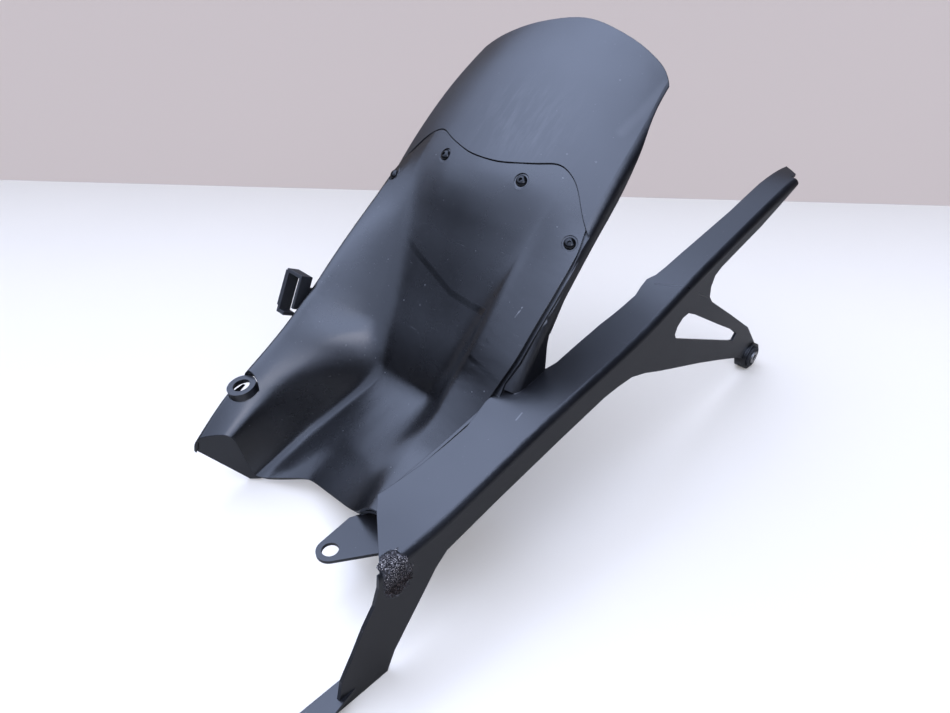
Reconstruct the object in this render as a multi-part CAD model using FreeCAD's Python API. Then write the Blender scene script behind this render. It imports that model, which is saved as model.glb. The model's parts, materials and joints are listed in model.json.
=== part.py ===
import FreeCAD, Part
import math
import os

V = FreeCAD.Vector

# The shapes are drawn from the tyre's middle plane (x), the foot bolt axis (y) and the
# ground (z), then moved so that the centre of the foot bush is the origin.

# Tyre-side axis that the crown is wrapped round (parallel to X)
AXIS_Y = 93.0
AXIS_Z = -109.0

# Crown of the mudguard blade
CROWN_R = 521.0
ARCH_R = 263.0
HALF_REAR = 104.0
HALF_SHOULDER = 109.2
HALF_FRONT = 112.0
EDGE_ROLL = 9.0
SKIN = 2.8

# Front cover
COVER_T = 3.0
LAYER_GAP = 0.3
EDGE_GAP = 0.5
LEDGE_W = 20.0
JOGGLE_SIDE = 10.0
RIDGE_TOP = 81.0
RIDGE_LOW = 57.0
RIDGE_R = 507.0
FLOOR_TOP = 62.0
FLOOR_LOW = 41.0
CHANNEL_R = 497.0
CREASE_X = -100.0
CREASE_SOFT = 6.0
CREASE_SHARE = 0.34
LIP_W = 11.0

# Screws
SCREW_D = 5.0
HEAD_D = 9.5
HEAD_H = 2.7
HEX_AF = 3.0
SCREW_L = 14.0
SEAT_D = 12.5
SEAT_CLEAR = 0.4
HOLE_CLEAR = 0.5
UPPER_X = 43.3
UPPER_DEG = 45.6
LOWER_X = 100.6
LOWER_DEG = 42.4

# Chain guard
WALL_X = 151.0
GUARD_T = 2.8
GUARD_ROLL = 5.5

# Foot eye
EYE_D = 30.0
EYE_W = 12.0
EYE_PROUD = 3.0
GROMMET_D = 20.0
COLLAR_D = 11.0
COLLAR_FLANGE_D = 14.0
COLLAR_BORE = 6.4


def at(x, deg, r):
    """Point at distance r from the wrap axis, deg above the horizontal."""
    a = math.radians(deg)
    return V(x, AXIS_Y - r * math.cos(a), AXIS_Z + r * math.sin(a))


def law(pairs, deg):
    """Straight-line law through (angle, value) pairs, highest angle first."""
    if deg >= pairs[0][0]:
        return pairs[0][1]
    for (a1, v1), (a0, v0) in zip(pairs, pairs[1:]):
        if a0 <= deg <= a1:
            return v0 + (v1 - v0) * (deg - a0) / (a1 - a0)
    return pairs[-1][1]


def crown(x):
    """Distance of the crown from the wrap axis at side distance x."""
    return CROWN_R - x * x / (2.0 * ARCH_R)


def prism_x(face, x0, x1):
    f = face.copy()
    f.translate(V(x0, 0, 0))
    return f.extrude(V(x1 - x0, 0, 0))


# Thin skin from rows of points

def normals(rows):
    n, m = len(rows), len(rows[0])
    out = []
    for i in range(n):
        line = []
        for j in range(m):
            du = rows[min(i + 1, n - 1)][j] - rows[max(i - 1, 0)][j]
            dv = rows[i][min(j + 1, m - 1)] - rows[i][max(j - 1, 0)]
            c = du.cross(dv)
            c.normalize()
            line.append(c)
        out.append(line)
    return out


def offset_rows(rows, dist):
    nn = normals(rows)
    return [[p + n * dist for p, n in zip(r, q)] for r, q in zip(rows, nn)]


def sheet(rows):
    """Smooth surface drawn by a net of points, three to a span."""
    n, m = len(rows), len(rows[0])
    ku = list(range(n - 1))
    kv = list(range(m - 1))
    mu = [3] + [1] * (n - 3) + [3]
    mv = [3] + [1] * (m - 3) + [3]
    s = Part.BSplineSurface()
    s.buildFromPolesMultsKnots(rows, mu, mv, ku, kv, False, False, 2, 2)
    return s


def skin(rows, top, bottom):
    """Closed solid between the surface pushed by top and by bottom."""
    a = sheet(offset_rows(rows, top))
    b = sheet(offset_rows(rows, bottom))
    faces = [a.toShape(), b.toShape()]
    u0, u1, v0, v1 = a.bounds()
    for ea, eb in ((a.uIso(u0), b.uIso(u0)), (a.uIso(u1), b.uIso(u1)),
                   (a.vIso(v0), b.vIso(v0)), (a.vIso(v1), b.vIso(v1))):
        faces.append(Part.makeRuledSurface(ea.toShape(), eb.toShape()))
    shell = Part.makeShell(faces)
    shell.sewShape()
    s = Part.makeSolid(Part.Shell(shell.Faces))
    if s.Volume < 0:
        s.reverse()
    return s


def soft_line(keys, softs):
    """Key points joined up, each inner corner eased over its own length."""
    out = [keys[0]]
    for p, q, r, soft in zip(keys, keys[1:], keys[2:], softs):
        back = p - q
        on = r - q
        out.append(q + back * (min(soft, CREASE_SHARE * back.Length) / back.Length))
        out.append(q + on * (min(soft, CREASE_SHARE * on.Length) / on.Length))
    out.append(keys[-1])
    return out


# Laws of the cover along the wrap angle

LEFT_X = ((46.0, 107.0), (43.0, 111.5), (8.0, 111.5))
LEFT_R = ((52.0, 497.0), (44.0, 498.5), (38.9, 507.5), (34.0, 520.5), (29.2, 533.5),
          (25.4, 550.5), (22.1, 571.5), (20.0, 591.0))
FOLD_R = ((47.0, 502.5), (44.0, 503.5), (39.6, 507.0), (34.4, 520.0), (29.6, 536.0),
          (23.7, 562.0), (20.0, 588.0))
RIDGE_X = ((44.2, RIDGE_TOP), (26.2, RIDGE_LOW))
WALL_TOP_X = ((27.9, 60.0), (25.2, 70.0), (22.0, 80.0), (20.0, 84.0))
WALL_TOP_R = ((27.9, RIDGE_R), (25.2, 533.0), (22.0, 550.0), (20.0, 563.0))
RIGHT_RIDGE_R = ((27.0, RIDGE_R), (20.0, 530.0))
FLOOR_DROP = ((46.0, 0.0), (44.0, 3.0), (42.0, 8.0), (39.5, 14.5), (37.0, 18.5),
              (34.0, 22.5), (31.0, 24.0), (26.0, 22.0))
RIGHT_X = ((48.0, 104.0), (44.4, 105.0), (43.0, 109.0), (42.0, 110.3), (38.5, 110.3),
           (31.5, 105.8), (28.0, 98.0), (24.0, 92.0), (20.0, 88.0))
RIGHT_R = ((48.0, 500.0), (43.0, 497.0), (40.0, 499.0), (31.5, 505.5), (28.0, 507.0),
           (24.0, 512.0), (20.0, 528.0))


def cover_keys(deg):
    """Key points of the cover across the bike at one wrap angle."""
    xl = law(LEFT_X, deg)
    rl = law(LEFT_R, deg)
    xr = law(RIDGE_X, deg)
    ridge = RIDGE_R + max(0.0, crown(xr) - RIDGE_R) * min(1.0, max(0.0, (deg - 41.0) / 4.0))
    xw = law(WALL_TOP_X, deg) if deg < 27.9 else xr
    rw = law(WALL_TOP_R, deg) if deg < 27.9 else ridge
    if deg < 27.0:
        ridge = law(RIGHT_RIDGE_R, deg)
    xf = FLOOR_LOW + (FLOOR_TOP - FLOOR_LOW) * (deg - 26.3) / 13.2
    xf = min(xf, xr - 9.0)
    drop = law(FLOOR_DROP, deg)
    mid = CROWN_R - drop
    side = crown(xf) - drop * (crown(xf) - CHANNEL_R) / (CROWN_R - CHANNEL_R)
    xe = law(RIGHT_X, deg)
    xc = max(CREASE_X, LIP_W - xl)
    half = mid - (mid - side) * 0.25
    return [at(-xl - 0.3, deg, rl - 13.0), at(-xl, deg, rl), at(xc, deg, law(FOLD_R, deg)),
            at(-xw, deg, rw), at(-xf, deg, side), at(-xf / 2.0, deg, half), at(0, deg, mid),
            at(xf / 2.0, deg, half), at(xf, deg, side), at(xr, deg, ridge),
            at(xe, deg, law(RIGHT_R, deg))]


def foot_keys():
    """Key points of the kicked-out toe of the cover, ending at its lip."""
    knee = [at(-112.0, 20.0, 576.0), at(-111.3, 20.0, 590.0), at(-100.0, 20.0, 588.0),
            V(-84.0, -441.0, 84.0), V(-58.5, -405.0, 49.0), V(-15.0, -412.5, 57.0),
            V(29.0, -420.0, 64.5), V(52.0, -408.0, 73.0), V(88.0, -406.0, 73.0)]
    mid = [at(-112.0, 17.5, 598.0), at(-111.2, 17.5, 612.0), at(-100.0, 17.5, 604.0),
           V(-86.0, -464.0, 71.0), V(-70.0, -442.0, 27.0), V(-22.0, -434.0, 38.0),
           V(40.0, -441.0, 52.0), V(58.0, -433.0, 66.0), V(89.0, -431.0, 67.0)]
    lip = [V(-112.2, -516.3, 38.0), V(-110.8, -514.8, 51.0), V(-99.7, -503.3, 56.4),
           V(-86.0, -489.0, 56.0), V(-80.0, -482.6, 4.0), V(-30.0, -454.5, 18.5),
           V(50.0, -461.0, 40.0), V(66.0, -459.0, 60.0), V(90.0, -456.0, 61.0)]
    out = []
    for k in (knee, mid, lip):
        out.append(k[:5] + [(k[4] + k[5]) * 0.5, k[5], (k[5] + k[6]) * 0.5] + k[6:])
    return out


def key_rows():
    angles = (52.0, 49.0, 46.0, 44.0, 42.0, 40.0, 37.5, 34.5, 31.5, 29.2, 27.6, 25.5, 23.0)
    return [cover_keys(d) for d in angles] + foot_keys()


def cover_rows():
    return [soft_line(k, [CREASE_SOFT] * 9) for k in key_rows()]


def ledge_rows():
    """Rows under the cover, starting clear of its left roll, ridges eased wider."""
    rows = []
    for k in key_rows():
        first = k[2] + (k[3] - k[2]) * 0.3
        on = k[-1] - k[-2]
        last = k[-1] + on * (7.0 / on.Length)
        rows.append(soft_line([first] + k[3:-1] + [last], [16.0, 5.0, 5.0, 5.0, 5.0, 5.0, 14.0]))
    return rows


# Flat outlines set square to the crown and pushed through it

def cut_plane(tilt):
    """Direction out of the crown and direction up along it at the tilt angle."""
    a = math.radians(tilt)
    return V(0, -math.cos(a), math.sin(a)), V(0, math.sin(a), math.cos(a))


def flat(points, tilt, depth):
    """Points dropped along the tilt direction onto a plane below the crown."""
    out, along = cut_plane(tilt)
    origin = V(0, AXIS_Y, AXIS_Z)
    res = []
    for p in points:
        q = p - origin
        res.append(origin + out * depth + along * q.dot(along) + V(p.x, 0, 0))
    return res


def column(edge, rest, tilt, depth=380.0, height=320.0):
    """Solid with one smooth edge and straight sides, square to the tilt plane."""
    c = Part.BSplineCurve()
    c.interpolate(flat(edge, tilt, depth))
    pts = flat([edge[-1]] + rest + [edge[0]], tilt, depth)
    w = Part.Wire([c.toShape()] + [Part.makeLine(a, b) for a, b in zip(pts, pts[1:])])
    return Part.Face(w).extrude(cut_plane(tilt)[0] * height)


def straight_column(points, tilt, depth=330.0, height=330.0):
    pts = flat(points, tilt, depth)
    w = Part.makePolygon(pts + [pts[0]])
    return Part.Face(w).extrude(cut_plane(tilt)[0] * height)


# Mudguard blade

HALF = ((58.5, HALF_REAR), (56.5, HALF_REAR + 3.0), (53.5, HALF_SHOULDER), (48.0, HALF_SHOULDER + 2.0),
        (43.0, HALF_FRONT + 0.4), (20.0, HALF_FRONT + 0.4))
REAR_EDGE = ((0, 63.2), (35, 62.6), (60, 61.9), (77, 61.2), (90, 60.4), (97, 59.6),
             (102, 58.7), (104.5, 57.5))
COVER_TOP = ((0, 46.3), (18, 46.45), (34, 46.9), (52, 47.6), (66, 48.1), (76, 47.8),
             (83, 47.3), (95, 45.7), (104, 44.4), (110.8, 43.6))
SKIRT_END = ((66.0, 503.0), (58.0, 501.0), (54.5, 498.0), (50.3, 489.0), (46.8, 486.0),
             (42.8, 487.0), (39.0, 487.5), (34.0, 485.0), (31.2, 472.0), (29.0, 470.0))


def crown_ring(deg, depth, low):
    """Cross section of the blade's outside, shrunk by a depth: arch, rolls, skirts."""
    w = law(HALF, deg)
    lean = math.atan((w - EDGE_ROLL) / ARCH_R)
    bend = w - EDGE_ROLL * (1.0 - math.sin(lean))
    r = EDGE_ROLL - depth if depth < EDGE_ROLL - 1.0 else 1.0
    cy = crown(bend) - EDGE_ROLL * math.cos(lean)
    mid = 0.5 * (math.pi / 2.0 - lean)
    top = at(0, deg, CROWN_R - depth)

    def half(side):
        cx = side * (w - depth - r)
        return (at(cx + side * r * math.sin(lean), deg, cy + r * math.cos(lean)),
                at(cx + side * r * math.cos(mid), deg, cy + r * math.sin(mid)),
                at(cx + side * r, deg, cy), at(cx + side * r, deg, low))

    la, lb, lc, ld = half(-1)
    ra, rb, rc, rd = half(1)
    return Part.Wire([Part.makeLine(ld, lc), Part.Arc(lc, lb, la).toShape(),
                      Part.Arc(la, top, ra).toShape(), Part.Arc(ra, rb, rc).toShape(),
                      Part.makeLine(rc, rd), Part.makeLine(rd, ld)])


def crown_core(depth, low=462.0):
    """Everything inside the blade's outer face, shrunk by a depth."""
    angles = [66, 62, 58, 54, 50, 47, 45, 43, 40, 37, 34, 31, 28.5]
    if depth > 0:
        angles = [66.5] + angles[1:-1] + [28.0]
    return Part.makeLoft([crown_ring(d, depth, low) for d in angles], True, False)


def mirrored(pairs):
    return [(-x, d) for x, d in reversed(pairs) if x > 0] + list(pairs)


def rear_column():
    edge = [at(x, d, crown(x)) for x, d in mirrored(REAR_EDGE)]
    rest = [at(130, 57.0, 500), at(130, 24.0, 500), at(-130, 24.0, 500), at(-130, 57.0, 500)]
    return column(edge, rest, 50.0)


def cover_column(gap, wider=0.0):
    """Everything under the front cover's outline, grown by a gap, its left side by more."""
    lift = math.degrees(gap / CROWN_R)
    edge = [at(x, d + lift, crown(x)) for x, d in mirrored(COVER_TOP)]
    grow = gap + wider
    side = [at(law(RIGHT_X, d) + grow, d, law(RIGHT_R, d)) for d in (42.3, 40.0, 37.0, 34.0, 31.5, 29.2)]
    rest = side + [at(105.0 + wider, 24.0, 520.0), at(105.0, 2.0, 640.0), at(-135.0, 2.0, 640.0),
                   at(-135.0, 43.5, 500.0)]
    return column(edge, rest, 50.0)


def skirt_cut():
    """Room below the skirts, seen from the side."""
    c = Part.BSplineCurve()
    c.interpolate([at(0, d, r) for d, r in SKIRT_END])
    last = SKIRT_END[-1][0]
    pts = [at(0, last, SKIRT_END[-1][1]), at(0, last, 300.0), at(0, 66.0, 300.0),
           at(0, 66.0, SKIRT_END[0][1])]
    w = Part.Wire([c.toShape()] + [Part.makeLine(a, b) for a, b in zip(pts, pts[1:])])
    return prism_x(Part.Face(w), -140.0, 140.0)


# Chain guard, brace and blade, seen from the side as (y, z)

GUARD_TOP = ((38.0, 214.0), (12.0, 213.5), (-25.0, 206.6), (-94.0, 189.5), (-172.0, 168.5),
             (-226.0, 151.5), (-291.5, 137.5), (-341.0, 128.5), (-422.0, 110.5), (-468.0, 101.5),
             (-520.0, 98.5), (-570.0, 97.0))
WALL_LOW = ((12.0, 208.5), (-11.0, 200.0), (-54.0, 185.0), (-88.0, 176.0), (-117.0, 168.0),
            (-127.0, 163.0), (-130.5, 153.0), (-129.0, 142.0), (-122.0, 134.0), (-76.0, 101.0),
            (-23.0, 62.0), (-8.0, 45.0), (7.0, 28.0), (10.0, 15.0), (-6.0, 12.0), (-31.0, 27.0),
            (-74.5, 46.0), (-120.0, 65.0), (-197.0, 95.0), (-223.0, 106.0), (-243.5, 112.5),
            (-262.0, 113.0), (-281.0, 112.0), (-336.0, 101.6), (-402.0, 88.0), (-454.0, 76.0),
            (-465.0, 67.0), (-480.0, 48.0), (-496.0, 28.5), (-506.0, 16.0), (-514.0, 0.0),
            (-558.0, 0.0), (-553.0, 12.0), (-549.0, 27.0), (-537.0, 45.0), (-527.0, 61.5),
            (-517.0, 75.0), (-512.0, 88.0), (-510.5, 99.0))
WINDOW = ((-164.0, 140.0), (-151.0, 133.0), (-94.0, 96.5), (-62.0, 76.5), (-49.0, 66.0),
          (-54.0, 60.0), (-61.0, 62.5), (-131.0, 96.5), (-178.0, 119.5), (-182.0, 126.0),
          (-180.0, 133.0), (-173.0, 139.0))
PLATE_IN = ((126.5, 36.0), (124.0, -13.0), (124.0, -65.0), (122.0, -111.0), (119.5, -160.0),
            (118.0, -172.0), (114.5, -180.0), (115.5, -190.0), (117.5, -200.0), (116.0, -219.0),
            (113.5, -243.0), (113.0, -268.0), (113.5, -298.0), (111.5, -308.0), (107.0, -312.0),
            (102.0, -328.0), (98.0, -345.0), (97.5, -362.0), (103.5, -388.0), (103.0, -410.0),
            (101.5, -433.0), (99.0, -452.0), (97.0, -469.0), (107.0, -478.0), (134.0, -498.0),
            (152.0, -511.0), (152.0, 13.0))


def yz_polygon(points):
    pts = [V(0, y, z) for y, z in points]
    return Part.Face(Part.makePolygon(pts + [pts[0]]))


def top_spline(drop):
    """Ridge line of the guard, pushed down square to itself."""
    pts = list(GUARD_TOP)
    low = []
    for i, (y, z) in enumerate(pts):
        y0, z0 = pts[max(i - 1, 0)]
        y1, z1 = pts[min(i + 1, len(pts) - 1)]
        n = math.hypot(y1 - y0, z1 - z0)
        low.append((y + (z1 - z0) / n * drop, z - (y0 - y1) / n * drop))
    return low


def under_top(drop):
    """Side view of everything below the ridge line of the guard."""
    line = top_spline(drop)
    c = Part.BSplineCurve()
    c.interpolate([V(0, y, z) for y, z in line])
    y0, z0 = line[0]
    y1, z1 = line[-1]
    pts = [V(0, y1, z1), V(0, y1, -60.0), V(0, y0, -60.0), V(0, y0, z0)]
    w = Part.Wire([c.toShape()] + [Part.makeLine(a, b) for a, b in zip(pts, pts[1:])])
    return Part.Face(w)


def long_edge(solid, x):
    """The ridge line edge of a guard block on the plane x."""
    best = None
    for e in solid.Edges:
        b = e.BoundBox
        if abs(b.XMin - x) < 1e-4 and abs(b.XMax - x) < 1e-4 and b.ZMin > 60.0:
            if best is None or e.Length > best.Length:
                best = e
    return best


def guard():
    """Folded guard: top plate, outer wall, brace with its window, front blade."""
    outer = prism_x(under_top(0.0), 80.0, WALL_X)
    outer = outer.makeFillet(GUARD_ROLL, [long_edge(outer, WALL_X)])
    inner = prism_x(under_top(GUARD_T), 70.0, WALL_X - GUARD_T)
    inner = inner.makeFillet(GUARD_ROLL - GUARD_T, [long_edge(inner, WALL_X - GUARD_T)])
    body = outer.cut(inner)
    plan = [V(x, y, -80.0) for x, y in PLATE_IN] + [V(PLATE_IN[0][0], PLATE_IN[0][1], -80.0)]
    top = Part.Face(Part.makePolygon(plan)).extrude(V(0, 0, 400.0))
    low = prism_x(yz_polygon(((12.0, 260.0),) + WALL_LOW + ((-510.5, 260.0),)), 70.0, WALL_X + 1.0)
    wall_zone = Part.makeBox(GUARD_T + GUARD_ROLL, 700.0, 330.0, V(WALL_X - GUARD_T - GUARD_ROLL, -620.0, -40.0))
    plate_zone = Part.makeBox(WALL_X - GUARD_T - GUARD_ROLL - 60.0, 700.0, 330.0, V(60.0, -620.0, -40.0))
    walls = body.common(low).common(wall_zone)
    rear = top.common(plate_zone)
    plate = body.common(rear)
    walls = walls.cut(prism_x(yz_polygon(WINDOW), WALL_X - 20.0, WALL_X + 2.0))
    nose = [V(x, y, 60.0) for x, y in ((141.0, -503.2), (148.2, -508.5), (148.2, -535.0),
                                       (141.0, -535.0), (141.0, -503.2))]
    walls = walls.cut(Part.Face(Part.makePolygon(nose)).extrude(V(0, 0, 60.0)))
    return walls, plate


def eye():
    """Round boss at the bottom of the brace, bored for the grommet."""
    r = EYE_D / 2.0
    y0, z0 = 0.0, r
    boss = Part.makeCylinder(r, EYE_W, V(WALL_X - EYE_W + EYE_PROUD, y0, z0), V(1, 0, 0))
    bore = Part.makeCylinder(GROMMET_D / 2.0, EYE_W + 4.0, V(WALL_X - EYE_W + EYE_PROUD - 2.0, y0, z0), V(1, 0, 0))
    return boss, bore


# Ledge that carries the cover, arms, toe panel, tabs

def ledge_window():
    """Opening left in the ledge behind the channel of the cover."""
    w = LEDGE_W
    pts = [at(-56.0, 43.7, 512.0), at(56.0, 43.7, 512.0), at(110.0 - w - 6.0, 39.0, 505.0),
           at(105.0 - w - 6.0, 30.0, 505.0), V(66.0, -400.0, 85.0), V(60.0, -432.0, 66.0),
           V(40.0, -441.0 + 0.25 * w, 55.0), V(-22.0, -432.0 + 0.25 * w, 43.0),
           V(-58.0, -433.0, 36.0), V(-80.0, -452.0, 60.0), at(-98.0 + w, 26.0, 545.0),
           at(-98.0 + w, 39.0, 507.0)]
    return straight_column(pts, 30.0)


def ledge():
    """Stepped-down rim under the cover, running into the joggle of the blade."""
    drop = COVER_T + LAYER_GAP
    band = skin(ledge_rows(), -drop, -drop - SKIN)
    return band.common(cover_column(EDGE_GAP + 0.5 * SKIN)).cut(ledge_window())


def blade():
    """Rear blade with its skirts, thickened to a joggle along the cover's edge."""
    joggle = cover_column(EDGE_GAP + SKIN, JOGGLE_SIDE)
    inner = crown_core(SKIN, 440.0).cut(joggle)
    deep = crown_core(COVER_T + LAYER_GAP + SKIN + 1.0, 430.0)
    b = crown_core(0.0).common(rear_column()).cut(skirt_cut()).cut(cover_column(EDGE_GAP))
    return b.cut(inner).cut(deep)


def right_arm():
    """Wall that carries the skirt down and forward under the guard plate."""
    t = SKIN
    run = ((112.0, -262.0), (112.0, -306.0), (104.0, -326.0), (100.5, -345.0), (100.5, -400.0),
           (100.0, -464.0))
    back = [(x - t, y - 0.4 * t * (1 if i in (1, 2) else 0)) for i, (x, y) in enumerate(run)]
    pts = [V(x, y, -80.0) for x, y in run] + [V(x, y, -80.0) for x, y in reversed(back)]
    tall = Part.Face(Part.makePolygon(pts + [pts[0]])).extrude(V(0, 0, 400.0))
    line = [at(0, 43.0, 487.0), at(0, 38.0, 487.5), at(0, 34.0, 485.0), at(0, 31.0, 474.0),
            at(0, 26.0, 483.0), at(0, 21.0, 500.0), V(0, -432.0, 37.0), V(0, -464.0, 37.0),
            V(0, -466.0, 99.0), V(0, -410.0, 110.5), V(0, -341.0, 126.0), V(0, -330.0, 133.0),
            at(0, 31.0, 500.0), at(0, 34.0, 499.0), at(0, 38.0, 494.0), at(0, 43.0, 492.0)]
    side = Part.Face(Part.makePolygon(line + [line[0]]))
    return tall.common(prism_x(side, 60.0, 130.0))


TOE_AT = (-79.9, -482.6)
TOE_RUN = (-0.6908, -0.7230)
TOE = ((46.0, 39.6), (46.0, 62.0), (-6.0, 62.0), (-6.0, 3.0), (4.0, 3.0), (38.4, 33.0))
TOE_MIDDLE = (26.0, 42.0)
HEEL = ((-480.0, 0.0), (-472.0, 0.0), (-472.0, 25.0), (-491.0, 25.0), (-491.0, 14.0))
HEEL_X = -91.0


def toe_panel():
    """Flat closing panel under the left toe of the ledge."""
    pts = [V(TOE_AT[0] + TOE_RUN[0] * s, TOE_AT[1] + TOE_RUN[1] * s, z) for s, z in TOE + (TOE_MIDDLE,)]
    middle = Part.Vertex(pts.pop())
    f = Part.Face(Part.makePolygon(pts + [pts[0]]))
    n = V(TOE_RUN[1], -TOE_RUN[0], 0.0)
    f.translate(n * 0.2)
    room = skin(cover_rows(), 8.0, -COVER_T - LAYER_GAP)
    parts = f.extrude(n * SKIN).cut(room).Solids
    panel = min(parts, key=lambda q: q.distToShape(middle)[0])
    heel = prism_x(yz_polygon(HEEL), HEEL_X, HEEL_X + SKIN)
    return panel.fuse(heel)


def lug(cx, cy, z0, z1, radius, root):
    """Flat lug: straight root to a rounded end."""
    a = [V(x, y, z0) for x, y in root]
    c = V(cx, cy, z0)
    axis = (a[0] + a[-1]) * 0.5 - c

    def touch(p):
        d = p - c
        turn = math.acos(radius / d.Length)
        side = axis.cross(d).z
        base = math.atan2(d.y, d.x)
        for ang in (base + turn, base - turn):
            t = V(math.cos(ang), math.sin(ang), 0) * radius
            if axis.cross(t).z * side > 0:
                return c + t

    pts = a + [touch(a[-1]), c, touch(a[0])]
    web = Part.Face(Part.makePolygon(pts + [pts[0]])).extrude(V(0, 0, z1 - z0))
    return web.fuse(Part.makeCylinder(radius, z1 - z0, c))


TAB_HOLE = 13.0
TAB_T = 3.0
RING_HOLE = 15.0
RING_D = 26.0
RING_T = 3.0
RING_DEEP = 6.0
RING_PROUD = 1.6
RING_WALL = 1.5
RING_AT = V(-101.0, -465.0, 88.0)
RING_DIR = V(-0.02, -0.17, 0.985)
LOW_TAB_Z = 8.0
SIDE_TAB_Z = 37.0


def ring(radius, low, high):
    d = RING_DIR * (1.0 / RING_DIR.Length)
    return Part.makeCylinder(radius, high - low, RING_AT + d * low, d)


def tabs():
    side = lug(65.5, -496.0, SIDE_TAB_Z, SIDE_TAB_Z + TAB_T, 11.0,
               ((100.5, -462.0), (100.5, -440.0), (60.0, -440.0), (50.0, -467.0)))
    low = lug(150.0, -583.0, LOW_TAB_Z, LOW_TAB_Z + TAB_T, 11.0,
              ((151.0, -540.0), (139.0, -543.0)))
    holes = [Part.makeCylinder(TAB_HOLE / 2.0, 20.0, V(65.5, -496.0, SIDE_TAB_Z - 5.0)),
             Part.makeCylinder(TAB_HOLE / 2.0, 20.0, V(150.0, -583.0, LOW_TAB_Z - 5.0))]
    return side, low, holes


# Screw stations

SEAT_SINK = 0.8
PAD_D = 15.0
PAD_DEPTH = COVER_T + 1.2
SCREWS = (("upper_right", -UPPER_X, UPPER_DEG), ("upper_left", UPPER_X, UPPER_DEG),
          ("lower_right", -LOWER_X, LOWER_DEG), ("lower_left", LOWER_X, LOWER_DEG))


def outward(x, deg):
    a = math.radians(deg)
    n = V(x / ARCH_R, -math.cos(a), math.sin(a))
    return n * (1.0 / n.Length)


def surface_point(solid, x, deg):
    """Point of the solid's outer face met by the screw line."""
    n = outward(x, deg)
    p = at(x, deg, crown(x) - 3.0)
    hit = solid.common(Part.makeLine(p - n * 30.0, p + n * 30.0))
    return max((v.Point for v in hit.Vertexes), key=lambda q: (q - p).dot(n))


def cyl(d, p, n, low, high):
    """Cylinder about the line through p, from low to high along n."""
    return Part.makeCylinder(d / 2.0, high - low, p + n * low, n)


def hexagon(af, p, n, low, high):
    r = af / math.sqrt(3.0)
    pts = [V(r * math.cos(math.radians(60 * i)), r * math.sin(math.radians(60 * i)), 0) for i in range(7)]
    c = Part.Face(Part.makePolygon(pts)).extrude(V(0, 0, high - low))
    c.Placement = FreeCAD.Placement(p + n * low, FreeCAD.Rotation(V(0, 0, 1), n))
    return c


def screw(p, n):
    """Button head screw: domed head with a hexagon socket, plain shank."""
    r = HEAD_D / 2.0
    prof = [V(0, 0, 0), V(r, 0, 0), V(r, 0, 0.6)]
    dome = Part.Arc(V(r, 0, 0.6), V(r * 0.74, 0, HEAD_H * 0.78), V(0, 0, HEAD_H)).toShape()
    w = Part.Wire([Part.makeLine(prof[0], prof[1]), Part.makeLine(prof[1], prof[2]), dome,
                   Part.makeLine(V(0, 0, HEAD_H), prof[0])])
    head = Part.Face(w).revolve(V(0, 0, 0), V(0, 0, 1), 360)
    head.Placement = FreeCAD.Placement(p - n * SEAT_SINK, FreeCAD.Rotation(V(0, 0, 1), n))
    shank = cyl(SCREW_D, p, n, -SEAT_SINK - SCREW_L, -SEAT_SINK + 0.5)
    return head.fuse(shank).cut(hexagon(HEX_AF, p, n, HEAD_H - SEAT_SINK - 1.6, HEAD_H))


def clip_nut(p, n):
    """Plate with a collar nut, lying on the back of the ledge."""
    back = -PAD_DEPTH - SKIN
    side = V(1, 0, 0) - n * n.x
    side.normalize()
    up = n.cross(side)
    c = p + n * back
    q = [c + side * a + up * b for a, b in ((-5.2, -7.0), (5.2, -7.0), (5.2, 7.0), (-5.2, 7.0))]
    plate = Part.Face(Part.makePolygon(q + [q[0]])).extrude(n * -1.2)
    nut = cyl(9.0, p, n, back - 5.0, back)
    return plate.fuse(nut).cut(cyl(SCREW_D + 2.0 * LAYER_GAP, p, n, back - 8.0, back + 1.0))


# The finished pieces

def front_cover():
    c = skin(cover_rows(), 0.0, -COVER_T).common(cover_column(0.0))
    spots = [(name, surface_point(c, x, d), outward(x, d)) for name, x, d in SCREWS]
    for name, p, n in spots:
        c = c.fuse(cyl(PAD_D, p, n, -PAD_DEPTH, -SEAT_SINK))
    for name, p, n in spots:
        c = c.cut(cyl(SEAT_D, p, n, -SEAT_SINK, 6.0))
        c = c.cut(cyl(SCREW_D + 2.0 * HOLE_CLEAR, p, n, -12.0, 6.0))
    c = c.cut(ring(RING_D / 2.0 + EDGE_GAP, -RING_DEEP - 1.0, 14.0))
    return c.removeSplitter(), spots


def hugger_shell(spots):
    rear = blade()
    band = ledge()
    side_tab, low_tab, holes = tabs()
    walls, plate = guard()
    boss, bore = eye()
    inside = Part.makeBox(240.0, 700.0, 500.0, V(-104.0, -600.0, -50.0))
    for name, p, n in spots:
        band = band.cut(cyl(PAD_D + 1.0, p, n, -PAD_DEPTH, 3.0))
        pad = cyl(PAD_D + 4.0, p, n, -PAD_DEPTH - SKIN, -PAD_DEPTH).common(inside)
        band = band.fuse(pad).cut(cyl(PAD_D + 6.0, p, n, -PAD_DEPTH - SKIN - 6.0, -PAD_DEPTH - SKIN))
        band = band.cut(cyl(SCREW_D + 2.0 * HOLE_CLEAR, p, n, -16.0, 6.0))
        rear = rear.cut(cyl(PAD_D + 1.0, p, n, -PAD_DEPTH, 3.0))
    body = rear.fuse(band)
    body = body.fuse([right_arm(), toe_panel(), walls, plate, boss, side_tab, low_tab])
    body = body.fuse(ring(RING_D / 2.0, -RING_DEEP, RING_PROUD))
    cup = ring(RING_D / 2.0 - RING_WALL, -20.0, RING_PROUD - RING_T)
    for tool in holes + [bore, cup, ring(RING_HOLE / 2.0, -20.0, 12.0)]:
        body = body.cut(tool)
    return body.removeSplitter()


BUSH = V(WALL_X - EYE_W / 2.0 + EYE_PROUD, 0.0, EYE_D / 2.0)


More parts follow.
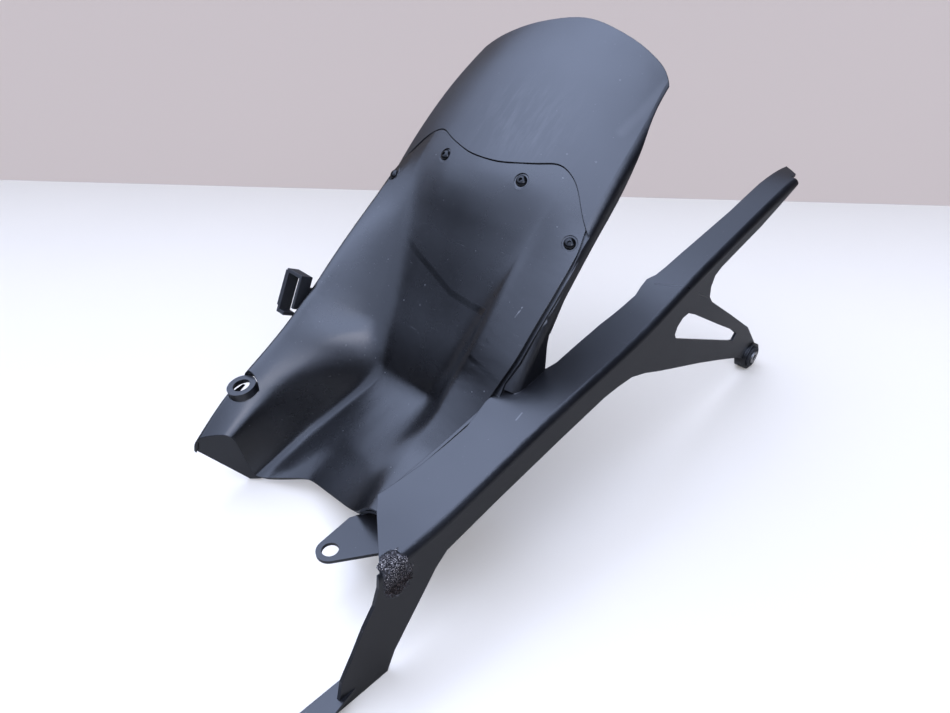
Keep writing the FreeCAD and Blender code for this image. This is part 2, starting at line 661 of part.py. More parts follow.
def grommet():
    """Rubber bush in the foot eye: a lip on each face and a bore for the collar."""
    c = BUSH
    n = V(1, 0, 0)
    half = EYE_W / 2.0
    body = cyl(GROMMET_D - 2.0 * LAYER_GAP, c, n, -half, half)
    for low in (-half - 1.8, half):
        body = body.fuse(cyl(GROMMET_D + 4.0, c, n, low, low + 1.8))
    return body.cut(cyl(COLLAR_D + 2.0 * LAYER_GAP, c, n, -half - 4.0, half + 4.0))


def collar():
    """Flanged steel tube through the grommet."""
    c = BUSH
    n = V(1, 0, 0)
    half = EYE_W / 2.0 + 1.8
    tube = cyl(COLLAR_D, c, n, -half, half)
    flange = cyl(COLLAR_FLANGE_D, c, n, half, half + 1.5)
    return tube.fuse(flange).cut(cyl(COLLAR_BORE, c, n, -half - 3.0, half + 4.0))


CLIP_DEG = 27.4
CLIP_R = 541.0
CLIP_X = -112.2
CLIP_W = 12.0
CLIP_T = 3.2
CLIP_OUT = 23.0
CLIP_TALL = 42.0
CLIP_FOOT = 14.0
RIVET_D = 5.0


def clip_place(shape):
    """Lay a shape drawn at the origin onto the side of the cover."""
    shape.Placement = FreeCAD.Placement(at(CLIP_X, CLIP_DEG, CLIP_R),
                                        FreeCAD.Rotation(V(1, 0, 0), -CLIP_DEG))
    return shape


def hose_clip():
    """Squared hook for the brake hose, open towards its lower end."""
    h = CLIP_TALL / 2.0
    w = CLIP_W
    t = CLIP_T
    out = CLIP_OUT
    bars = (Part.makeBox(t, w / 2.0 + CLIP_FOOT + 6.0, h, V(-t, -w / 2.0, -h / 2.0)),
            Part.makeBox(t, w, 1.5 * h, V(-t, -w / 2.0, -h / 2.0)),
            Part.makeBox(out, w, t, V(-out, -w / 2.0, h - t)),
            Part.makeBox(t, w, 2.0 * h, V(-out, -w / 2.0, -h)),
            Part.makeBox(out - 12.0, w, t, V(-out, -w / 2.0, -h)),
            Part.makeBox(2.4, t, 2.0 * h - 8.0, V(-out - 1.8, -w / 2.0, 6.0 - h)))
    body = bars[0].fuse(list(bars[1:]))
    hole = Part.makeCylinder(RIVET_D / 2.0 + LAYER_GAP, t + 2.0, V(-t - 1.0, CLIP_FOOT, 0), V(1, 0, 0))
    return clip_place(body.cut(hole))


def clip_rivet():
    """Push rivet through the clip foot and the side of the cover."""
    t = CLIP_T
    head = Part.makeCylinder(4.5, 1.8, V(-t - 1.8, CLIP_FOOT, 0), V(1, 0, 0))
    shank = Part.makeCylinder(RIVET_D / 2.0, t + 7.0, V(-t - 0.5, CLIP_FOOT, 0), V(1, 0, 0))
    return clip_place(head.fuse(shank))


def rivet_hole():
    r = RIVET_D / 2.0 + LAYER_GAP
    return clip_place(Part.makeCylinder(r, 12.0, V(-2.0, CLIP_FOOT, 0), V(1, 0, 0)))


def build():
    cover, spots = front_cover()
    out = {"hugger_shell": hugger_shell(spots),
           "front_cover": cover.cut(rivet_hole()).removeSplitter(),
           "foot_grommet": grommet(),
           "foot_collar": collar(),
           "hose_clip": hose_clip(),
           "clip_rivet": clip_rivet()}
    for name, p, n in spots:
        out["screw_" + name] = screw(p, n)
        out["nut_" + name] = clip_nut(p, n)
    return out


os.makedirs("parts", exist_ok=True)
for name, shape in build().items():
    shape.translate(BUSH * -1.0)
    shape.exportStep("parts/" + name + ".step")
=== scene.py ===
import bpy
import bmesh
import json
import math
from mathutils import Matrix, Vector, noise


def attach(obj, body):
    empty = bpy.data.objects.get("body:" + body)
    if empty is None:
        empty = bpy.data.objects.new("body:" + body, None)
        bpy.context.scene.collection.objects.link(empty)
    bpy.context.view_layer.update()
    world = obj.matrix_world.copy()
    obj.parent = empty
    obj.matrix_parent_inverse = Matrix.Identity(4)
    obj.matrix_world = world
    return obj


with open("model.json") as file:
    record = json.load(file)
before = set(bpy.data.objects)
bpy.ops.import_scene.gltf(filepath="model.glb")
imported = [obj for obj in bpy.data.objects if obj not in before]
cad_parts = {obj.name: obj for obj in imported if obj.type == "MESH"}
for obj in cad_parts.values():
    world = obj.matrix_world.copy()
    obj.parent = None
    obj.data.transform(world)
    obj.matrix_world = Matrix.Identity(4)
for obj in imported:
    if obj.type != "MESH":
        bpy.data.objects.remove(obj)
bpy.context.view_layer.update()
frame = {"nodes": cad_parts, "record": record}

scene = bpy.context.scene
nodes = frame["nodes"]

# Places in metres in the part's own frame, whose origin is the foot bush
GROUND_Z = -0.015
CAMERA_AT = Vector((0.24412, -0.66311, 0.44299))
CAMERA_TURN = math.radians(45.46)
CAMERA_DIP = math.radians(34.74)
CAMERA_ROLL = math.radians(-0.48)
FOCAL_PX = 700.0
IMAGE_W = 950.0
IMAGE_H = 713.0
SENSOR_MM = 36.0
CLIP_START = 0.01
WALL_LEFT_PX = (0.0, 180.0)
WALL_RIGHT_PX = (950.0, 206.0)
MM = 0.001


# Camera

def camera_axes():
    """Right, up and back of the camera."""
    a, e, r = CAMERA_TURN, CAMERA_DIP, CAMERA_ROLL
    right = Vector((math.cos(a), math.sin(a), 0.0))
    up = Vector((-math.sin(a) * math.sin(e), math.cos(a) * math.sin(e), math.cos(e)))
    back = Vector((math.sin(a) * math.cos(e), -math.cos(a) * math.cos(e), math.sin(e)))
    return (right * math.cos(r) + up * math.sin(r), up * math.cos(r) - right * math.sin(r), back)


def place_camera():
    right, up, back = camera_axes()
    cam = bpy.data.cameras.new("camera")
    cam.sensor_width = SENSOR_MM
    cam.lens = SENSOR_MM * FOCAL_PX / IMAGE_W
    cam.clip_start = CLIP_START
    obj = bpy.data.objects.new("camera", cam)
    m = Matrix((right, up, back)).transposed().to_4x4()
    m.translation = CAMERA_AT
    obj.matrix_world = m
    scene.collection.objects.link(obj)
    scene.camera = obj


def on_floor(px):
    """Floor point seen at an image point."""
    right, up, back = camera_axes()
    d = right * (px[0] - IMAGE_W / 2.0) - up * (px[1] - IMAGE_H / 2.0) - back * FOCAL_PX
    return CAMERA_AT + d * ((GROUND_Z - CAMERA_AT.z) / d.z)


# Material helpers: mat is a material, or the world for the sky

NO_STRETCH = (1.0, 1.0, 1.0)
NO_TURN = (0.0, 0.0, 0.0)
BEVEL_SAMPLES = 6


def link(mat, a, b):
    mat.node_tree.links.new(a, b)


def node(mat, kind):
    return mat.node_tree.nodes.new("ShaderNode" + kind)


def fresh(name):
    """New material and its main shader."""
    mat = bpy.data.materials.new(name)
    mat.use_nodes = True
    return mat, mat.node_tree.nodes["Principled BSDF"]


def coords(mat, stretch=NO_STRETCH, turn=NO_TURN):
    tc = node(mat, "TexCoord")
    mp = node(mat, "Mapping")
    mp.inputs["Scale"].default_value = stretch
    mp.inputs["Rotation"].default_value = turn
    link(mat, tc.outputs["Object"], mp.inputs["Vector"])
    return mp.outputs["Vector"]


def noise_of(mat, scale, detail=4.0, rough=0.5, stretch=NO_STRETCH, turn=NO_TURN, twist=0.0):
    n = node(mat, "TexNoise")
    n.inputs["Scale"].default_value = scale
    n.inputs["Detail"].default_value = detail
    n.inputs["Roughness"].default_value = rough
    n.inputs["Distortion"].default_value = twist
    link(mat, coords(mat, stretch, turn), n.inputs["Vector"])
    return n.outputs["Fac"]


def ramp(mat, fac, stops):
    """Colour or grey that follows a value through (place, colour) stops."""
    r = node(mat, "ValToRGB")
    e = r.color_ramp.elements
    while len(e) > len(stops):
        e.remove(e[-1])
    while len(e) < len(stops):
        e.new(0.5)
    for el, (pos, col) in zip(e, stops):
        el.position = pos
        el.color = (col, col, col, 1.0) if isinstance(col, float) else tuple(col) + (1.0,)
    link(mat, fac, r.inputs["Fac"])
    return r.outputs["Color"]


def math_of(mat, op, a, b=None, clamp=False):
    m = node(mat, "Math")
    m.operation = op
    m.use_clamp = clamp
    for i, v in enumerate((a, b)):
        if v is None:
            continue
        if isinstance(v, float):
            m.inputs[i].default_value = v
        else:
            link(mat, v, m.inputs[i])
    return m.outputs["Value"]


def mix_of(mat, fac, a, b):
    """Colour that goes from a to b as fac goes from 0 to 1."""
    m = node(mat, "Mix")
    m.data_type = "RGBA"
    link(mat, fac, m.inputs[0])
    colours = [s for s in m.inputs if s.type == "RGBA"]
    for sock, v in zip(colours, (a, b)):
        if isinstance(v, tuple):
            sock.default_value = v + (1.0,)
        else:
            link(mat, v, sock)
    return [s for s in m.outputs if s.type == "RGBA"][0]


def product(mat, a, b):
    return math_of(mat, "MULTIPLY", a, b)


def bumped(mat, shader, height, strength, distance, round_edge=0.0):
    """Relief from a height, over edges rounded by round_edge."""
    b = node(mat, "Bump")
    b.inputs["Strength"].default_value = strength
    b.inputs["Distance"].default_value = distance
    link(mat, height, b.inputs["Height"])
    if round_edge:
        bev = node(mat, "Bevel")
        bev.samples = BEVEL_SAMPLES
        bev.inputs["Radius"].default_value = round_edge
        link(mat, bev.outputs["Normal"], b.inputs["Normal"])
    link(mat, b.outputs["Normal"], shader.inputs["Normal"])
    return b


# Marks: each is a mask in the part's own frame, in millimetres from the foot bush

def vec(mat, op, a, b=None, scale=None):
    """Vector maths on sockets, vectors or numbers."""
    m = node(mat, "VectorMath")
    m.operation = op
    for i, v in ((0, a), (1, b), (3, scale)):
        if v is None:
            continue
        if isinstance(v, (tuple, Vector, float)):
            m.inputs[i].default_value = v
        else:
            link(mat, v, m.inputs[i])
    return m.outputs["Value"] if op in ("DOT_PRODUCT", "LENGTH") else m.outputs["Vector"]


def spread(mat, value, low, high, to_low, to_high):
    """Soft step from to_low to to_high as the value goes from low to high."""
    r = node(mat, "MapRange")
    r.interpolation_type = "SMOOTHSTEP"
    for name, v in (("From Min", low), ("From Max", high), ("To Min", to_low), ("To Max", to_high)):
        r.inputs[name].default_value = v
    link(mat, value, r.inputs["Value"])
    return r.outputs["Result"]


def strand(mat, points, half, soft):
    """Mask of a line through points with a soft border."""
    place = node(mat, "TexCoord").outputs["Object"]
    best = None
    pts = [Vector(p) * MM for p in points]
    for a, b in zip(pts, pts[1:]):
        run = b - a
        rel = vec(mat, "SUBTRACT", place, a)
        along_run = vec(mat, "DOT_PRODUCT", rel, run)
        t = math_of(mat, "MULTIPLY", along_run, 1.0 / run.length_squared, True)
        off = vec(mat, "LENGTH", vec(mat, "SUBTRACT", rel, vec(mat, "SCALE", run, None, t)))
        best = off if best is None else math_of(mat, "MINIMUM", best, off)
    return spread(mat, best, half * MM, (half + soft) * MM, 1.0, 0.0)


def blob(mat, centre, radii, ragged=0.0, grain=160.0, soft=0.12):
    """Mask of a rounded patch with a ragged border."""
    place = node(mat, "TexCoord").outputs["Object"]
    rel = vec(mat, "SUBTRACT", place, Vector(centre) * MM)
    d = vec(mat, "LENGTH", vec(mat, "DIVIDE", rel, Vector(radii) * MM))
    if ragged:
        d = math_of(mat, "ADD", d, product(mat, noise_of(mat, grain, 5.0, 0.65), ragged))
        d = math_of(mat, "SUBTRACT", d, 0.5 * ragged)
    return spread(mat, d, 1.0 - soft, 1.0, 1.0, 0.0)


def most(mat, masks):
    """The strongest of some masks."""
    out = masks[0]
    for m in masks[1:]:
        out = math_of(mat, "MAXIMUM", out, m)
    return out


# Where marks are drawn, in millimetres: wear, a painted highlight along the crown's ridge and painted shade
# along the fold line
GOUGE = ((0.0, -497.0, 70.5), (12.5, 12.5, 19.0))
# The fold line is cut in as a shallow groove and also painted dark as shade along it
FOLD_LINE = ((-24.0, -181.6, 150.5), (-4.8, -173.8, 152.9), (1.7, -169.9, 151.9),
             (3.0, -145.2, 134.6), (3.0, -132.8, 128.5), (3.0, -128.0, 126.0))
# Painted highlight: a pale soft line along the crown's ridge crease, standing in for light on it
RIDGE_HIGHLIGHT = ((-50.1, -164.5, 307.8), (-50.8, -177.9, 299.8), (-52.6, -193.2, 290.5),
               (-55.8, -209.9, 279.9))
DOTS = ((-82.0, -241.6, 264.6), (-59.5, -234.5, 262.0), (-190.9, -203.3, 300.4),
        (-81.4, -182.0, 308.7))
NICKS = ((-238.8, -209.3, 281.0), (-242.3, -226.5, 265.9))
ARC = ((-206.7, -306.3, 181.2), (-187.2, -310.9, 172.0), (-163.3, -315.2, 164.8),
       (-133.3, -320.3, 155.2), (-108.7, -321.1, 153.2), (-91.8, -323.2, 154.7))
FLANK_LINES = (((-73.1, -336.6, 142.9), (-59.4, -337.5, 141.4), (-44.6, -337.7, 140.3)),
               ((-83.5, -346.3, 126.5), (-64.4, -348.7, 123.8), (-50.0, -349.0, 121.0)))
CHIPS = ((-56.8, -315.4, 171.4), (-57.7, -318.7, 167.1), (-58.6, -322.1, 162.9))
FLECKS = ((-162.6, -322.4, 151.4), (-160.4, -331.0, 136.0), (-180.3, -332.5, 133.5),
          (-74.9, -253.7, 250.7))
GUARD_MARK = ((-20.1, -354.5, 110.7), (-19.0, -362.1, 109.0))
WIPED = ((-135.1, -237.0, 278.7), (75.0, 55.0, 55.0))

# Colours of what lies on the plastic or is worn into it; the pale wear tone also paints a highlight, and the
# dark mark tone also paints shade along a line
HAZE = (0.16, 0.16, 0.18)
DUST = (0.30, 0.29, 0.28)
PALE_WEAR_AND_HIGHLIGHT = (0.17, 0.165, 0.16)
DARK_MARK_AND_SHADE = (0.003, 0.003, 0.003)
TORN = ((0.40, (0.006, 0.004, 0.004)), (0.52, (0.045, 0.032, 0.028)), (0.62, (0.30, 0.28, 0.28)))
ROUGHER = (("pale", 0.10), ("dark", -0.16), ("torn", 0.3))
PLASTIC_SPECULAR = 0.85
EDGE_SOFT = 0.0007


# Materials

def hairlines(mat):
    """Fine scratches in two directions."""
    a = noise_of(mat, 34.0, 3.0, 0.7, (1.0, 18.0, 18.0), (0.4, 0.2, 0.7), 0.3)
    b = noise_of(mat, 30.0, 3.0, 0.7, (22.0, 1.0, 20.0), (0.2, -0.3, 0.35), 0.3)
    return math_of(mat, "MAXIMUM", ramp(mat, a, ((0.70, 0.0), (0.76, 1.0))),
                   ramp(mat, b, ((0.71, 0.0), (0.78, 1.0))))


def spots(mat, scale, core, rim):
    """Round spots scattered over the surface."""
    v = node(mat, "TexVoronoi")
    v.inputs["Scale"].default_value = scale
    link(mat, coords(mat), v.inputs["Vector"])
    return ramp(mat, v.outputs["Distance"], ((core, 1.0), (rim, 0.0)))


def moulded(name, base, rough_low, rough_high, dust, marking=None):
    """Satin moulded plastic: fine grain, uneven sheen, dust, hairline scratches and marks, among them painted
    highlight and painted shade.
    """
    mat, sh = fresh(name)
    sh.inputs["Specular IOR Level"].default_value = PLASTIC_SPECULAR
    grain = noise_of(mat, 1900.0, 2.0, 0.6)
    wide = noise_of(mat, 14.0, 5.0, 0.6)
    fine = noise_of(mat, 90.0, 6.0, 0.65)
    lines = hairlines(mat)
    specks = product(mat, spots(mat, 210.0, 0.045, 0.085), ramp(mat, fine, ((0.48, 0.0), (0.62, 1.0))))
    dusty = math_of(mat, "ADD", product(mat, specks, 0.42), product(mat, lines, 0.14), True)
    hazy = product(mat, ramp(mat, wide, ((0.35, 0.0), (0.72, 1.0))), 0.015 * dust)
    col = mix_of(mat, hazy, base, HAZE)
    col = mix_of(mat, product(mat, dusty, dust), col, DUST)
    marks_and_light = marking(mat) if marking else {}
    # the pale and dark masks carry wear marks and also a painted highlight and painted shade
    for key, tone in (("pale", PALE_WEAR_AND_HIGHLIGHT), ("dark", DARK_MARK_AND_SHADE)):
        if key in marks_and_light:
            col = mix_of(mat, marks_and_light[key], col, tone)
    if "torn" in marks_and_light:
        col = mix_of(mat, marks_and_light["torn"], col, ramp(mat, noise_of(mat, 620.0, 6.0, 0.7), TORN))
    link(mat, col, sh.inputs["Base Color"])
    r = node(mat, "MapRange")
    for key, value in (("From Min", 0.25), ("From Max", 0.75), ("To Min", rough_low), ("To Max", rough_high)):
        r.inputs[key].default_value = value
    link(mat, wide, r.inputs["Value"])
    rough = math_of(mat, "ADD", r.outputs["Result"], product(mat, lines, 0.10), True)
    for key, change in ROUGHER:
        if key in marks_and_light:
            rough = math_of(mat, "ADD", rough, product(mat, marks_and_light[key], change), True)
    link(mat, rough, sh.inputs["Roughness"])
    h = math_of(mat, "ADD", grain, product(mat, lines, -0.6))
    if "cut" in marks_and_light:
        h = math_of(mat, "ADD", h, product(mat, marks_and_light["cut"], -2.5))
    b = bumped(mat, sh, h, 0.16, 0.00025, EDGE_SOFT)
    if "torn" in marks_and_light:
        chips = product(mat, noise_of(mat, 520.0, 6.0, 0.75), marks_and_light["torn"])
        deep = bumped(mat, sh, chips, 1.0, 0.004)
        link(mat, b.outputs["Normal"], deep.inputs["Normal"])
    return mat


def shell_wear_and_light(mat):
    """The gouge on the guard's corner, the fold line with painted shade along it, a painted highlight along
    the crown's ridge, nicks and dots.
    """
    streaks = noise_of(mat, 26.0, 5.0, 0.65, (7.0, 1.4, 1.4), (0.0, 0.5, 0.6))
    wiped = product(mat, blob(mat, *WIPED, 0.7, 22.0, 0.8), ramp(mat, streaks, ((0.45, 0.0), (0.72, 0.16))))
    # painted highlight along the crown's ridge crease, mixed in with the pale wear
    ridge_highlight = product(mat, strand(mat, RIDGE_HIGHLIGHT, 0.6, 6.0), 0.14)
    dots = [blob(mat, p, (1.0, 1.0, 1.0), 0.4, 300.0, 0.5) for p in DOTS + NICKS]
    mark = product(mat, strand(mat, GUARD_MARK, 0.3, 0.5), 0.6)
    # the fold line's mask cuts a groove and paints shade along it
    fold = strand(mat, FOLD_LINE, 0.25, 0.55)
    # pale holds wear and the painted ridge highlight; dark holds the painted shade along the fold line
    return {"pale": most(mat, [wiped, ridge_highlight, product(mat, most(mat, dots), 0.35), mark]),
            "dark": product(mat, fold, 0.8), "cut": fold,
            "torn": blob(mat, *GOUGE, 0.5, 170.0, 0.10)}


def cover_wear(mat):
    """Dark marks across the channel and flank, a chipped ridge, pale flecks."""
    wavy = ramp(mat, noise_of(mat, 55.0, 3.0), ((0.3, 0.55), (0.6, 1.0)))
    arc = product(mat, strand(mat, ARC, 1.4, 2.2), wavy)
    lines = [product(mat, strand(mat, p, 0.9, 1.8), 0.85) for p in FLANK_LINES]
    broken = ramp(mat, noise_of(mat, 420.0, 4.0), ((0.46, 0.0), (0.54, 1.0)))
    chips = product(mat, strand(mat, CHIPS, 0.2, 0.7), broken)
    flecks = [blob(mat, p, (0.7, 0.7, 0.7), 0.6, 500.0, 0.4) for p in FLECKS]
    sparse = product(mat, spots(mat, 95.0, 0.03, 0.07),
                     ramp(mat, noise_of(mat, 30.0, 3.0), ((0.52, 0.0), (0.6, 1.0))))
    pale = most(mat, [product(mat, most(mat, [chips] + flecks), 0.8), product(mat, sparse, 0.6)])
    return {"pale": pale, "dark": most(mat, [arc] + lines)}


def rubber():
    """Matt black rubber, faintly mottled."""
    mat, sh = fresh("rubber_mat")
    fine = noise_of(mat, 700.0, 5.0, 0.6)
    link(mat, ramp(mat, fine, ((0.35, (0.014, 0.014, 0.015)), (0.7, (0.032, 0.031, 0.030)))),
         sh.inputs["Base Color"])
    link(mat, ramp(mat, noise_of(mat, 120.0, 4.0), ((0.3, 0.55), (0.7, 0.78))), sh.inputs["Roughness"])
    bumped(mat, sh, fine, 0.3, 0.0003, 0.0006)
    return mat


def metal(name, light, dark, rough_low, rough_high):
    """Turned steel with a dull plating."""
    mat, sh = fresh(name)
    sh.inputs["Metallic"].default_value = 1.0
    spun = noise_of(mat, 260.0, 4.0, 0.6, (1.0, 9.0, 9.0))
    link(mat, ramp(mat, noise_of(mat, 160.0, 5.0), ((0.35, dark), (0.65, light))), sh.inputs["Base Color"])
    link(mat, ramp(mat, spun, ((0.3, rough_low), (0.7, rough_high))), sh.inputs["Roughness"])
    bumped(mat, sh, spun, 0.2, 0.0002, 0.0003)
    return mat


def screw_black():
    """Black coated steel: glossy, with slight unevenness."""
    mat, sh = fresh("screw_mat")
    sh.inputs["Specular IOR Level"].default_value = 0.35
    fine = noise_of(mat, 900.0, 4.0)
    link(mat, ramp(mat, fine, ((0.4, (0.002, 0.002, 0.002)), (0.75, (0.008, 0.008, 0.009)))),
         sh.inputs["Base Color"])
    link(mat, ramp(mat, noise_of(mat, 400.0, 3.0), ((0.3, 0.08), (0.7, 0.16))), sh.inputs["Roughness"])
    bumped(mat, sh, fine, 0.1, 0.0001, 0.0003)
    return mat


SHELL = moulded("shell_mat", (0.0045, 0.0043, 0.0050), 0.28, 0.38, 0.8, shell_wear_and_light)
COVER = moulded("cover_mat", (0.0024, 0.0020, 0.0020), 0.22, 0.31, 1.0, cover_wear)
CLIP = moulded("clip_mat", (0.012, 0.012, 0.013), 0.42, 0.56, 0.9)
COLLAR = metal("collar_mat", (0.72, 0.71, 0.69), (0.45, 0.44, 0.42), 0.22, 0.4)
NUT = metal("nut_mat", (0.55, 0.54, 0.50), (0.30, 0.29, 0.27), 0.3, 0.5)
FINISH = {"shell_plastic": SHELL, "cover_plastic": COVER, "clip_plastic": CLIP, "rivet_plastic": CLIP,
          "rubber": rubber(), "collar_steel": COLLAR, "nut_steel": NUT, "screw_black": screw_black()}
for part in frame["record"]["subparts"]:
    obj = nodes[part["node"]]
    for s in obj.material_slots:
        s.material = FINISH[part["material_slot"]]


# Torn crust that stands out of the gouge, laid over the guard's edge, in millimetres

WALL_OUT = 3.0
TOP_AT = 84.35
EDGE_ROUND = 5.5
CRUST_IN = -9.5
CRUST_LOW = 50.0
CRUST_Y = (-508.0, -482.0)
CRUST_STEP = 0.33
CRUST_SUNK = 0.25
CRUST_LIFT = 0.42
CRUST_RELIEF = 1.25
BORDER_NOISE = ((0.55, 0.17), (0.22, 0.6))
BORDER_AT = 0.93
BORDER_STEEP = 6.0
TOP_FLAT = (WALL_OUT - EDGE_ROUND) - CRUST_IN
QUARTER = EDGE_ROUND * math.pi / 2.0
TORN_LOW_Z = 0.062
TORN_HIGH_Z = 0.080
TORN_LOW = ((0.42, (0.002, 0.001, 0.001)), (0.56, (0.030, 0.018, 0.014)), (0.66, (0.40, 0.31, 0.27)))
TORN_TOP = ((0.44, (0.003, 0.002, 0.002)), (0.53, (0.08, 0.07, 0.07)), (0.60, (0.80, 0.72, 0.64)))


def edge_point(s):
    """Place and outward direction on the guard's section, s along it from the top's inside."""
    if s < TOP_FLAT:
        return Vector((CRUST_IN + s, 0.0, TOP_AT)), Vector((0.0, 0.0, 1.0))
    if s < TOP_FLAT + QUARTER:
        a = (s - TOP_FLAT) / EDGE_ROUND
        n = Vector((math.sin(a), 0.0, math.cos(a)))
        return Vector((WALL_OUT - EDGE_ROUND, 0.0, TOP_AT - EDGE_ROUND)) + n * EDGE_ROUND, n
    drop = s - TOP_FLAT - QUARTER
    return Vector((WALL_OUT, 0.0, TOP_AT - EDGE_ROUND - drop)), Vector((1.0, 0.0, 0.0))


def crust_point(base, n):
    """Point of the broken surface above a point of the guard, and whether it is kept."""
    rel = base - Vector(GOUGE[0])
    d = math.sqrt(sum((rel[k] / GOUGE[1][k]) ** 2 for k in range(3)))
    (wide, wide_scale), (fine, fine_scale) = BORDER_NOISE
    d += wide * noise.noise(base * wide_scale) + fine * noise.noise(base * fine_scale)
    rough = (0.5 * noise.noise(base * 0.9) + 0.38 * noise.noise(base * 1.9)
             + 0.2 * abs(noise.noise(base * 3.4)))
    lift = min(1.0, max(0.0, (BORDER_AT - d) * BORDER_STEEP))
    height = lift * (CRUST_LIFT + CRUST_RELIEF * rough) - CRUST_SUNK
    return (base + n * height) * MM, lift > 0.0


def crust():
    length = TOP_FLAT + QUARTER + (TOP_AT - EDGE_ROUND - CRUST_LOW)
    start, end = CRUST_Y
    rows = int(length / CRUST_STEP)
    cols = int((end - start) / CRUST_STEP)
    points, keep = [], []
    for i in range(rows + 1):
        base, n = edge_point(length * i / rows)
        for j in range(cols + 1):
            p = base + Vector((0.0, start + (end - start) * j / cols, 0.0))
            point, kept = crust_point(p, n)
            points.append(point)
            keep.append(kept)
    faces = []
    for i in range(rows):
        for j in range(cols):
            a = i * (cols + 1) + j
            b = a + cols + 1
            if all(keep[k] for k in (a, a + 1, b + 1, b)):
                faces.append((a, a + 1, b + 1, b))
    me = bpy.data.meshes.new("gouge_crust")
    me.from_pydata([tuple(p) for p in points], [], faces)
    bm = bmesh.new()
    bm.from_mesh(me)
    bmesh.ops.delete(bm, geom=[v for v in bm.verts if not v.link_faces], context="VERTS")
    bmesh.ops.recalc_face_normals(bm, faces=bm.faces)
    bm.to_mesh(me)
    bm.free()
    me.materials.append(torn_plastic())
    obj = bpy.data.objects.new("gouge_crust", me)
    scene.collection.objects.link(obj)
    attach(obj, "root")


def torn_plastic():
    """Crumbled plastic: dark brown pits, paler peaks towards the top."""
    mat, sh = fresh("torn_mat")
    fine = noise_of(mat, 900.0, 6.0, 0.75)
    place = node(mat, "SeparateXYZ")
    link(mat, node(mat, "TexCoord").outputs["Object"], place.inputs["Vector"])
    high = spread(mat, place.outputs["Z"], TORN_LOW_Z, TORN_HIGH_Z, 0.0, 1.0)
    col = mix_of(mat, high, ramp(mat, fine, TORN_LOW), ramp(mat, fine, TORN_TOP))
    link(mat, col, sh.inputs["Base Color"])
    sh.inputs["Specular IOR Level"].default_value = 0.25
    link(mat, ramp(mat, fine, ((0.3, 0.5), (0.7, 0.85))), sh.inputs["Roughness"])
    bumped(mat, sh, fine, 1.0, 0.001)
    return mat


crust()


# Table, wall and light

MOTTLE = 0.97
WALL_REACH = 2.0
TABLE_REACH = 5.0
WALL_HEIGHT = 0.6


def stage_plane(name, corners, mat):
    me = bpy.data.meshes.new(name)
    me.from_pydata([tuple(c) for c in corners], [], [(0, 1, 2, 3)])
    me.materials.append(mat)
    obj = bpy.data.objects.new(name, me)
    scene.collection.objects.link(obj)


def backed(name, colour, rough, glow, shown, duller):
    """Plain surface, lifted for camera rays, duller in what the part mirrors, open from behind."""
    mat, sh = fresh(name)
    grain = noise_of(mat, 3.0, 3.0)
    tone = ramp(mat, grain, ((0.2, tuple(MOTTLE * c for c in colour)), (0.8, colour)))
    lp = node(mat, "LightPath")
    dull = tuple(duller * c for c in colour)
    link(mat, mix_of(mat, lp.outputs["Is Camera Ray"], dull, tone), sh.inputs["Base Color"])
    sh.inputs["Roughness"].default_value = rough
    em = node(mat, "Emission")
    em.inputs["Color"].default_value = tuple(shown) + (1.0,)
    link(mat, product(mat, lp.outputs["Is Camera Ray"], glow), em.inputs["Strength"])
    add = node(mat, "AddShader")
    link(mat, sh.outputs["BSDF"], add.inputs[0])
    link(mat, em.outputs["Emission"], add.inputs[1])
    open_back = node(mat, "MixShader")
    link(mat, node(mat, "NewGeometry").outputs["Backfacing"], open_back.inputs[0])
    link(mat, add.outputs["Shader"], open_back.inputs[1])
    link(mat, node(mat, "BsdfTransparent").outputs["BSDF"], open_back.inputs[2])
    link(mat, open_back.outputs["Shader"], mat.node_tree.nodes["Material Output"].inputs["Surface"])
    return mat


TABLE = backed("table_mat", (0.80, 0.71, 0.58), 0.22, 0.15, (1.0, 0.97, 0.93), 0.40)
WALL = backed("wall_mat", (0.34, 0.265, 0.20), 0.6, 0.36, (1.0, 0.92, 1.0), 1.0)
w0, w1 = on_floor(WALL_LEFT_PX), on_floor(WALL_RIGHT_PX)
along = (w1 - w0).normalized()
w0, w1 = w0 - along * WALL_REACH, w1 + along * WALL_REACH
near = Vector((along.y, -along.x, 0.0)) * TABLE_REACH
stage_plane("table", (w0 + near, w1 + near, w1, w0), TABLE)
up = Vector((0.0, 0.0, WALL_HEIGHT))
stage_plane("wall", (w0, w1, w1 + up, w0 + up), WALL)

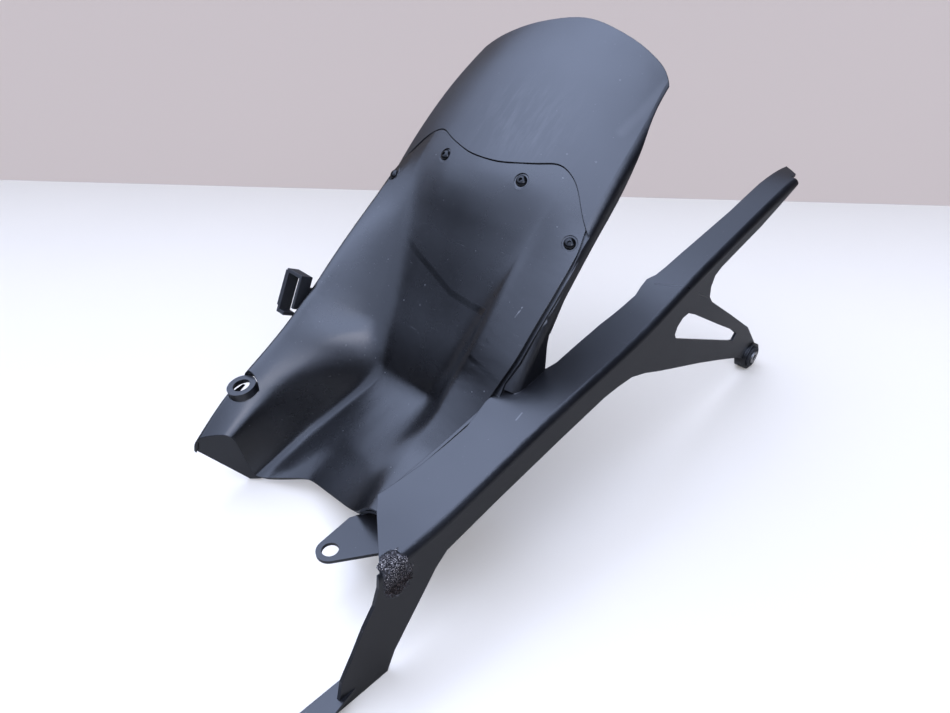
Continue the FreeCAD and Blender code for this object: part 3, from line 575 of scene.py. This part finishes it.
# The ceiling's light fades over these ranges of the direction towards it
CEILING = (2.6, 3.1, 4.5)
DIM = (0.015, 0.015, 0.02)
ROOM_SEEN = (0.57, 0.53, 0.57)
CEILING_RISE = (0.16, 0.42)
CEILING_END = (0.20, 0.55)
CEILING_FRONT = (-0.78, -0.40)
CEILING_LEFT = (-0.95, -0.40)
DARK_SIDE = (0.55, 0.60, 0.58)
DARK_RANGE = (0.58, 0.80)
BEHIND = 0.36
IN_FRONT = 0.38
AT_LEFT = 0.42
LAMP_AT = (1.15, -1.25, 1.15)
LAMP_TO = (-0.15, -0.35, 0.1)
LAMP_SIZE = 0.5
LAMP_POWER = 2.2
LAMP_COLOUR = (1.0, 0.93, 0.90)


def sky():
    """Soft room light: a cool bright ceiling that ends behind the part, dim towards the ground."""
    world = bpy.data.worlds.new("room")
    scene.world = world
    world.use_nodes = True
    bg = world.node_tree.nodes["Background"]
    way = node(world, "TexCoord").outputs["Generated"]
    axes = node(world, "SeparateXYZ")
    link(world, way, axes.inputs["Vector"])
    dark = vec(world, "DOT_PRODUCT", way, Vector(DARK_SIDE).normalized())
    lit = spread(world, axes.outputs["Z"], *CEILING_RISE, 0.0, 1.0)
    for value, span, low, high in ((axes.outputs["Y"], CEILING_END, 1.0, BEHIND),
                                   (axes.outputs["Y"], CEILING_FRONT, IN_FRONT, 1.0),
                                   (axes.outputs["X"], CEILING_LEFT, AT_LEFT, 1.0),
                                   (dark, DARK_RANGE, 1.0, 0.0)):
        lit = product(world, lit, spread(world, value, *span, low, high))
    camera_ray = node(world, "LightPath").outputs["Is Camera Ray"]
    col = mix_of(world, camera_ray, mix_of(world, lit, DIM, CEILING), ROOM_SEEN)
    link(world, col, bg.inputs["Color"])
    bg.inputs["Strength"].default_value = 1.0


def lamp():
    light = bpy.data.lights.new("window", "AREA")
    light.size = LAMP_SIZE
    light.energy = LAMP_POWER
    light.color = LAMP_COLOUR
    obj = bpy.data.objects.new("window", light)
    obj.location = LAMP_AT
    obj.rotation_euler = (Vector(LAMP_TO) - Vector(LAMP_AT)).to_track_quat("-Z", "Y").to_euler()
    scene.collection.objects.link(obj)


sky()
lamp()
scene.view_settings.view_transform = "Standard"
place_camera()
